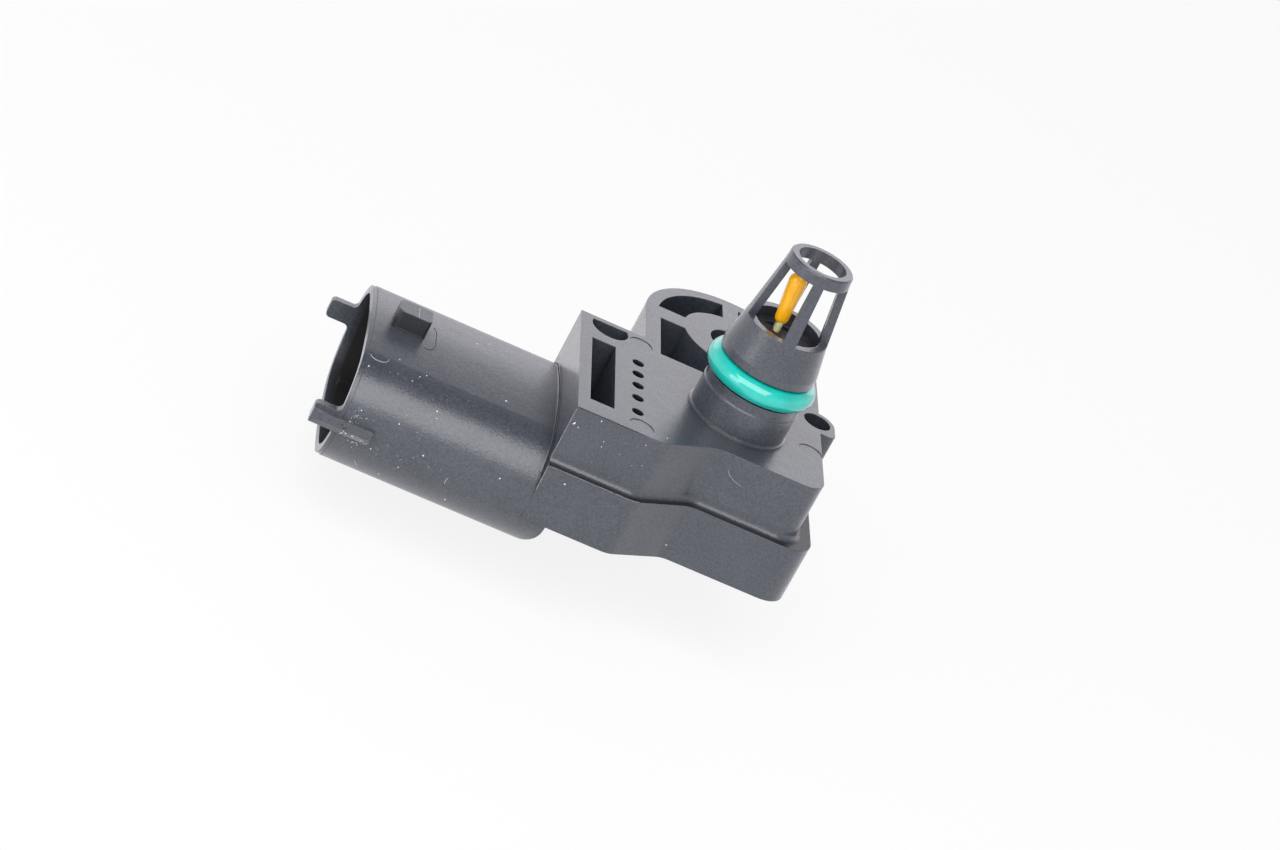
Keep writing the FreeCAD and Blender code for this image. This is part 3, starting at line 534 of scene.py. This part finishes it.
def make_materials():
    """One material for each slot of the record."""
    materials = {slot: cloudy(slot, *finish) for slot, finish in SMALL_FINISHES.items()}
    materials["housing_plastic"] = moulded_plastic(
        "housing_plastic", (0.026, 0.031, 0.042, 1), (0.054, 0.061, 0.078, 1), 0.12 * MM
    )
    materials["cover_plastic"] = moulded_plastic(
        "cover_plastic", (0.018, 0.019, 0.021, 1), (0.034, 0.035, 0.039, 1), 0.1 * MM
    )
    materials["potting_resin"] = potting("potting_resin")
    materials["bead_coating"] = bead_coating("bead_coating")
    materials["seal_rubber"] = seal_rubber("seal_rubber")
    materials["pedestal_glass"] = clear("pedestal_glass", (0.85, 0.92, 0.93, 1), 0.05)
    materials["clear_gel"] = clear("clear_gel", (0.90, 0.92, 0.94, 1), 0.1)
    return materials


def dress_nodes(materials):
    """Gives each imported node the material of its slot."""
    for part in frame["record"]["subparts"]:
        node = nodes[part["node"]]
        node.data.materials.clear()
        node.data.materials.append(materials[part["material_slot"]])


def skin_of(node):
    """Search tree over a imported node's surface."""
    points = [vertex.co for vertex in node.data.vertices]
    faces = [tuple(face.vertices) for face in node.data.polygons]
    return BVHTree.FromPolygons(points, faces)


def nearest(surface, point):
    """The nearest spot on the surface to a point in metres, and the normal there."""
    return surface.find_nearest(point)[:2]


def add_piece(name, mesh_data, material):
    """Finishes a piece that lies on the housing, kept within the solids' box."""
    low, high = cad_box
    for vertex in mesh_data.verts:
        for axis in range(3):
            vertex.co[axis] = min(max(vertex.co[axis], low[axis]), high[axis])
    mesh = bpy.data.meshes.new(name)
    mesh_data.to_mesh(mesh)
    mesh_data.free()
    for face in mesh.polygons:
        face.use_smooth = True
    mesh.materials.append(material)
    piece = bpy.data.objects.new(name, mesh)
    bpy.context.scene.collection.objects.link(piece)
    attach(piece, "root")


def add_grain(mesh_data, spot, normal, size, source, divisions):
    """Irregular flattened grain that sits on a surface."""
    out = normal.normalized()
    across = out.orthogonal().normalized()
    along = out.cross(across)
    turn = source.uniform(0, math.tau)
    first = across * math.cos(turn) + along * math.sin(turn)
    second = out.cross(first)
    length = size / 2 * source.uniform(0.9, 1.5)
    width = size / 2 * source.uniform(0.6, 0.95)
    height = size / 2 * source.uniform(0.35, 0.6)
    made = bmesh.ops.create_icosphere(mesh_data, subdivisions=divisions, radius=1.0)["verts"]
    for vertex in made:
        local = vertex.co * source.uniform(0.75, 1.2)
        vertex.co = spot + first * local.x * length + second * local.y * width + out * local.z * height


def scatter(grains, surface, patches, source, divisions):
    """Scatters grains over the surface in patches."""
    for middle, spread, count, size in patches:
        for _ in range(count):
            point = Vector([source.gauss(m, s / 2) for m, s in zip(middle, spread)]) * MM
            spot, normal = nearest(surface, point)
            add_grain(grains, spot, normal, size * MM * source.uniform(0.6, 1.5), source, divisions)


def make_dust(surface):
    """Dust on the housing: the larger grains in their places, the rest in patches round them."""
    source = random.Random(7)
    pale = dust_and_painted_line_material("dust_pale", (0.72, 0.72, 0.72, 1), (0.95, 0.95, 0.94, 1))
    warm = dust_and_painted_line_material("dust_warm", (0.50, 0.46, 0.30, 1), (0.80, 0.76, 0.56, 1))
    grains = bmesh.new()
    for place, size in DUST_GRAINS:
        spot, normal = nearest(surface, Vector(place) * MM)
        add_grain(grains, spot, normal, size * MM, source, ROUND_GRAIN)
    scatter(grains, surface, COARSE_DUST, source, ROUND_GRAIN)
    add_piece("dust", grains, pale)
    grains = bmesh.new()
    scatter(grains, surface, YELLOW_DUST, source, ROUND_GRAIN)
    add_piece("dust_yellow", grains, warm)
    grains = bmesh.new()
    scatter(grains, surface, FINE_DUST, source, PLAIN_GRAIN)
    add_piece("dust_fine", grains, pale)


def smooth_line(points):
    """Closely spaced points along a Catmull-Rom curve through the given ones."""
    padded = [points[0], *points, points[-1]]
    line = []
    for index in range(len(points) - 1):
        before, start, end, after = padded[index:index + 4]
        steps = max(3, round((end - start).length / THREAD_STEP))
        for step in range(steps):
            t = step / steps
            line.append(
                (2 * start + (end - before) * t + (2 * before - 5 * start + 4 * end - after) * t ** 2
                 + (3 * start - before - 3 * end + after) * t ** 3) / 2
            )
    line.append(points[-1])
    return line


def add_thread(name, rows, radius, surface, material, source, sink):
    """Thin uneven thread on the surface, thinner at its ends; sink is the share of it below the surface."""
    points = smooth_line([Vector(row) * MM for row in rows])
    last = len(points) - 1
    threads = bmesh.new()
    rings = []
    for index, point in enumerate(points):
        spot, normal = nearest(surface, point)
        ahead = points[min(index + 1, last)] - points[max(index - 1, 0)]
        side = ahead.cross(normal).normalized()
        fade = min(1.0, THREAD_TIP + min(index, last - index) / THREAD_TAPER_RINGS)
        reach = radius * MM * fade * source.uniform(0.75, 1.2)
        centre = spot + normal * reach * (1 - 2 * sink)
        ring = []
        for corner in range(THREAD_CORNERS):
            turn = math.tau * corner / THREAD_CORNERS
            out = side * reach * math.cos(turn) + normal * reach * math.sin(turn)
            ring.append(threads.verts.new(centre + out))
        rings.append(ring)
    for first, second in zip(rings, rings[1:]):
        for corner in range(THREAD_CORNERS):
            after = (corner + 1) % THREAD_CORNERS
            threads.faces.new((first[corner], first[after], second[after], second[corner]))
    threads.faces.new(reversed(rings[0]))
    threads.faces.new(rings[-1])
    add_piece(name, threads, material)


def make_marks(surface):
    """Fibres, scratches, painted edge highlights, painted crease shade and the round tool mark by the latch
    block.
    """
    source = random.Random(11)
    lint = dust_and_painted_line_material("lint", (0.60, 0.60, 0.62, 1), (0.86, 0.86, 0.88, 1))
    # Painted highlights: lighter lines laid along edges
    edge_highlight_paint = dust_and_painted_line_material("painted_edge_highlight", (0.22, 0.225, 0.24, 1), (0.46, 0.47, 0.50, 1))
    # Dark marks in the parting line and the tool mark, and painted shade in the crease at the shroud's foot
    dark_mark_and_crease_shade = dust_and_painted_line_material("dark_mark_and_painted_shade", (0.010, 0.010, 0.012, 1), (0.028, 0.029, 0.033, 1))
    groups = (
        (FIBRES, lint, FIBRE_SINK),
        (PAINTED_EDGE_HIGHLIGHTS, edge_highlight_paint, EDGE_HIGHLIGHT_SINK),
        (DARK_EDGES, dark_mark_and_crease_shade, DARK_EDGE_SINK),
    )
    for threads, material, sink in groups:
        for name, (rows, radius) in threads.items():
            add_thread(name, rows, radius, surface, material, source, sink)
    dot = bmesh.new()
    spot, normal = nearest(surface, Vector(MARK_DOT) * MM)
    add_grain(dot, spot - normal * MARK_DOT_SINK * MM, normal, MARK_DOT_SIZE * MM, source, ROUND_GRAIN)
    add_piece("mark_dot", dot, dark_mark_and_crease_shade)


def make_world():
    """White where it is seen; to the object it is white at the horizon and dimmer overhead."""
    world = bpy.data.worlds.new("studio")
    bpy.context.scene.world = world
    shader = Shader(world, "ShaderNodeOutputWorld")
    axes = shader.axes(shader.add("ShaderNodeTexCoord").outputs["Generated"])
    height = shader.add("ShaderNodeMapRange", interpolation_type="SMOOTHSTEP")
    shader.feed(height, Value=axes["Z"], From_Min=SKY_FALL[0], From_Max=SKY_FALL[1])
    shader.feed(height, To_Min=HORIZON_STRENGTH, To_Max=ZENITH_STRENGTH)
    seen = shader.add("ShaderNodeLightPath").outputs["Is Camera Ray"]
    background = shader.add("ShaderNodeBackground")
    shader.feed(background, Color=shader.blend(seen, SKY_TINT, WHITE))
    shader.feed(background, Strength=shader.highest(seen, height.outputs["Result"]))
    shader.finish(background)


def glow_share(shader):
    """How much of the floor glows white: most for the camera, less in reflections, none in its light."""
    path = shader.add("ShaderNodeLightPath").outputs
    seen = shader.product(shader.highest(path["Is Camera Ray"], path["Is Transmission Ray"]), FLOOR_GLOW)
    mirrored = shader.product(path["Is Glossy Ray"], MIRRORED_GLOW)
    return shader.highest(seen, mirrored)


def make_floor():
    """Plain white floor that keeps the object's shadow and melts into the background."""
    bpy.ops.mesh.primitive_plane_add(size=2 * FLOOR_HALF, location=(0, 0, housing_bottom - FLOOR_GAP))
    floor = bpy.context.object
    floor.name = "floor"
    shader = new_shader("floor_paint")
    diffuse = shader.feed(shader.add("ShaderNodeBsdfDiffuse"), Color=FLOOR_COLOR)
    glow = shader.feed(shader.add("ShaderNodeEmission"), Color=WHITE)
    both = shader.add("ShaderNodeMixShader")
    shader.put(both.inputs[0], glow_share(shader))
    shader.put(both.inputs[1], diffuse.outputs["BSDF"])
    shader.put(both.inputs[2], glow.outputs["Emission"])
    floor.data.materials.append(shader.finish(both))


def make_softbox(name, direction, distance, width, height, radiance):
    """Rectangular lamp that looks at the object from a direction."""
    light = bpy.data.lights.new(name, "AREA")
    light.shape = "RECTANGLE"
    light.size = width
    light.size_y = height
    light.energy = radiance * math.pi * width * height
    lamp = bpy.data.objects.new(name, light)
    bpy.context.scene.collection.objects.link(lamp)
    away = Vector(direction).normalized()
    lamp.location = LIT_POINT + away * distance
    lamp.rotation_euler = away.to_track_quat("Z", "Y").to_euler()
    lamp.visible_camera = False


def make_lights():
    """A large softbox above the front, a small one at the left and a low wide one behind."""
    for name, settings in SOFTBOXES.items():
        make_softbox(name, *settings)


def make_camera():
    """Camera at the photograph's place, with its lean and its lens."""
    data = bpy.data.cameras.new("camera")
    data.lens = CAMERA_LENS
    data.sensor_fit = "HORIZONTAL"
    data.sensor_width = SENSOR_WIDTH
    data.clip_start = NEAREST_SEEN
    data.clip_end = FARTHEST_SEEN
    camera = bpy.data.objects.new("camera", data)
    bpy.context.scene.collection.objects.link(camera)
    axes = Matrix((CAMERA_RIGHT, -CAMERA_DOWN, -CAMERA_FORWARD)).transposed()
    camera.matrix_world = Matrix.Translation(CAMERA_PLACE) @ axes.to_4x4()
    bpy.context.scene.camera = camera


dress_nodes(make_materials())
housing_surface = skin_of(nodes["housing"])
make_dust(housing_surface)
make_marks(housing_surface)
make_world()
make_floor()
make_lights()
make_camera()
bpy.context.scene.view_settings.view_transform = "Standard"
